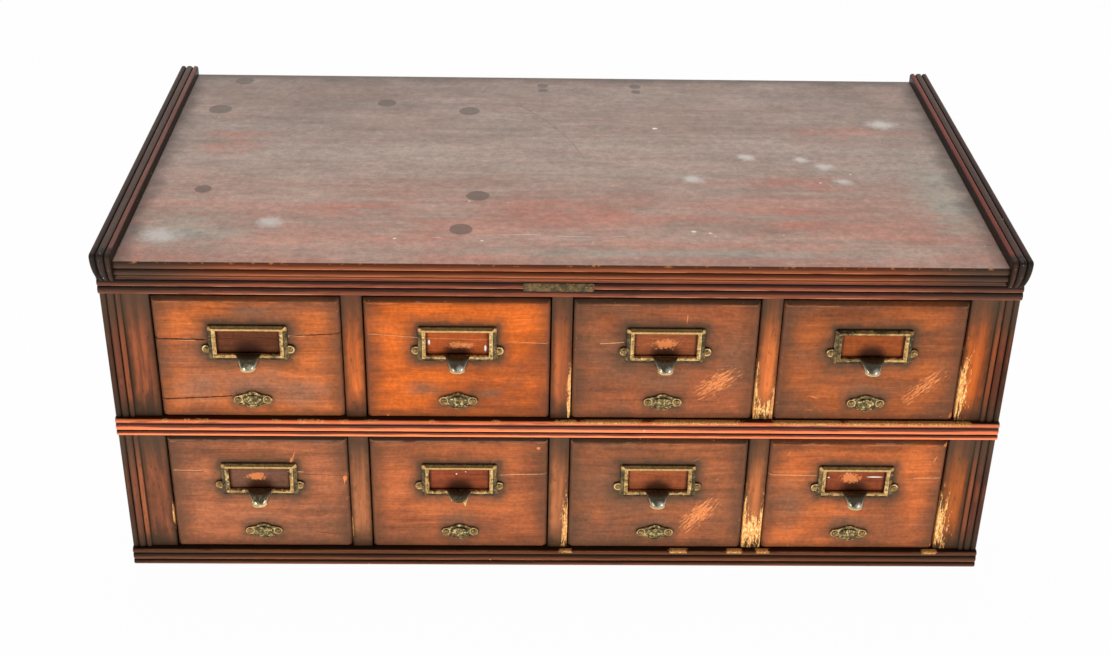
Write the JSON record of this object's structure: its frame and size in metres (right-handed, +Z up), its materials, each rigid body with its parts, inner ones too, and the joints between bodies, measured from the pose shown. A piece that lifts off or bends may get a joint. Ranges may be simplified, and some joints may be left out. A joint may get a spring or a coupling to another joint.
{
  "type": "card index cabinet",
  "caption": "Low table-top wooden card-index cabinet: reeded case with two rows of sliding card drawers, brass label-holder pulls and a card follower in each drawer.",
  "frame": {"origin": "middle of the footprint, on the surface that the cabinet stands on", "axes": "+X to the right seen from the front, along the rows of drawers; -Y out of the drawer fronts; +Z up"},
  "size_m": [0.838, 0.4584, 0.3528],
  "materials": {
    "case_wood": "dark red-brown varnished mahogany, worn",
    "top_wood": "dull faded mahogany with ring marks and scuffs",
    "drawer_wood": "orange-brown varnished mahogany with darkened edges",
    "tray_wood": "plain unvarnished wood",
    "back_wood": "plain stained board",
    "brass": "aged cast brass, dark in the recesses and bright on the raised edges"
  },
  "bodies": {
    "case": {"base_board": "case_wood", "middle_shelf": "case_wood", "upper_board": "case_wood", "top_board": "top_wood", "back_panel": "back_wood", "left_side": "case_wood", "right_side": "case_wood", "left_cap": "case_wood", "right_cap": "case_wood", "name_plate": "brass", "lower_left_stile": "case_wood", "lower_right_stile": "case_wood", "upper_left_stile": "case_wood", "upper_right_stile": "case_wood", "lower_divider_1": "case_wood", "lower_divider_2": "case_wood", "lower_divider_3": "case_wood", "upper_divider_1": "case_wood", "upper_divider_2": "case_wood", "upper_divider_3": "case_wood"},
    "lower_drawer_1": {"lower_drawer_1_front": "drawer_wood", "lower_drawer_1_tray": "tray_wood", "lower_drawer_1_pull": "brass", "lower_drawer_1_plate": "brass"},
    "lower_follower_1": {"lower_drawer_1_follower": "tray_wood"},
    "lower_drawer_2": {"lower_drawer_2_front": "drawer_wood", "lower_drawer_2_tray": "tray_wood", "lower_drawer_2_pull": "brass", "lower_drawer_2_plate": "brass"},
    "lower_follower_2": {"lower_drawer_2_follower": "tray_wood"},
    "lower_drawer_3": {"lower_drawer_3_front": "drawer_wood", "lower_drawer_3_tray": "tray_wood", "lower_drawer_3_pull": "brass", "lower_drawer_3_plate": "brass"},
    "lower_follower_3": {"lower_drawer_3_follower": "tray_wood"},
    "lower_drawer_4": {"lower_drawer_4_front": "drawer_wood", "lower_drawer_4_tray": "tray_wood", "lower_drawer_4_pull": "brass", "lower_drawer_4_plate": "brass"},
    "lower_follower_4": {"lower_drawer_4_follower": "tray_wood"},
    "upper_drawer_1": {"upper_drawer_1_front": "drawer_wood", "upper_drawer_1_tray": "tray_wood", "upper_drawer_1_pull": "brass", "upper_drawer_1_plate": "brass"},
    "upper_follower_1": {"upper_drawer_1_follower": "tray_wood"},
    "upper_drawer_2": {"upper_drawer_2_front": "drawer_wood", "upper_drawer_2_tray": "tray_wood", "upper_drawer_2_pull": "brass", "upper_drawer_2_plate": "brass"},
    "upper_follower_2": {"upper_drawer_2_follower": "tray_wood"},
    "upper_drawer_3": {"upper_drawer_3_front": "drawer_wood", "upper_drawer_3_tray": "tray_wood", "upper_drawer_3_pull": "brass", "upper_drawer_3_plate": "brass"},
    "upper_follower_3": {"upper_drawer_3_follower": "tray_wood"},
    "upper_drawer_4": {"upper_drawer_4_front": "drawer_wood", "upper_drawer_4_tray": "tray_wood", "upper_drawer_4_pull": "brass", "upper_drawer_4_plate": "brass"},
    "upper_follower_4": {"upper_drawer_4_follower": "tray_wood"}
  },
  "joints": [
    {"name": "lower_drawer_1_slide", "type": "slide", "parent": "case", "child": "lower_drawer_1", "axis": [0, -1, 0], "range_m": [0, 0.33]},
    {"name": "lower_drawer_2_slide", "type": "slide", "parent": "case", "child": "lower_drawer_2", "axis": [0, -1, 0], "range_m": [0, 0.33]},
    {"name": "lower_drawer_3_slide", "type": "slide", "parent": "case", "child": "lower_drawer_3", "axis": [0, -1, 0], "range_m": [0, 0.33]},
    {"name": "lower_drawer_4_slide", "type": "slide", "parent": "case", "child": "lower_drawer_4", "axis": [0, -1, 0], "range_m": [0, 0.33]},
    {"name": "upper_drawer_1_slide", "type": "slide", "parent": "case", "child": "upper_drawer_1", "axis": [0, -1, 0], "range_m": [0, 0.33]},
    {"name": "upper_drawer_2_slide", "type": "slide", "parent": "case", "child": "upper_drawer_2", "axis": [0, -1, 0], "range_m": [0, 0.33]},
    {"name": "upper_drawer_3_slide", "type": "slide", "parent": "case", "child": "upper_drawer_3", "axis": [0, -1, 0], "range_m": [0, 0.33]},
    {"name": "upper_drawer_4_slide", "type": "slide", "parent": "case", "child": "upper_drawer_4", "axis": [0, -1, 0], "range_m": [0, 0.33]},
    {"name": "lower_follower_1_slide", "type": "slide", "parent": "lower_drawer_1", "child": "lower_follower_1", "axis": [0, 1, 0], "range_m": [-0.28, 0]},
    {"name": "lower_follower_2_slide", "type": "slide", "parent": "lower_drawer_2", "child": "lower_follower_2", "axis": [0, 1, 0], "range_m": [-0.28, 0]},
    {"name": "lower_follower_3_slide", "type": "slide", "parent": "lower_drawer_3", "child": "lower_follower_3", "axis": [0, 1, 0], "range_m": [-0.28, 0]},
    {"name": "lower_follower_4_slide", "type": "slide", "parent": "lower_drawer_4", "child": "lower_follower_4", "axis": [0, 1, 0], "range_m": [-0.28, 0]},
    {"name": "upper_follower_1_slide", "type": "slide", "parent": "upper_drawer_1", "child": "upper_follower_1", "axis": [0, 1, 0], "range_m": [-0.28, 0]},
    {"name": "upper_follower_2_slide", "type": "slide", "parent": "upper_drawer_2", "child": "upper_follower_2", "axis": [0, 1, 0], "range_m": [-0.28, 0]},
    {"name": "upper_follower_3_slide", "type": "slide", "parent": "upper_drawer_3", "child": "upper_follower_3", "axis": [0, 1, 0], "range_m": [-0.28, 0]},
    {"name": "upper_follower_4_slide", "type": "slide", "parent": "upper_drawer_4", "child": "upper_follower_4", "axis": [0, 1, 0], "range_m": [-0.28, 0]}
  ]
}
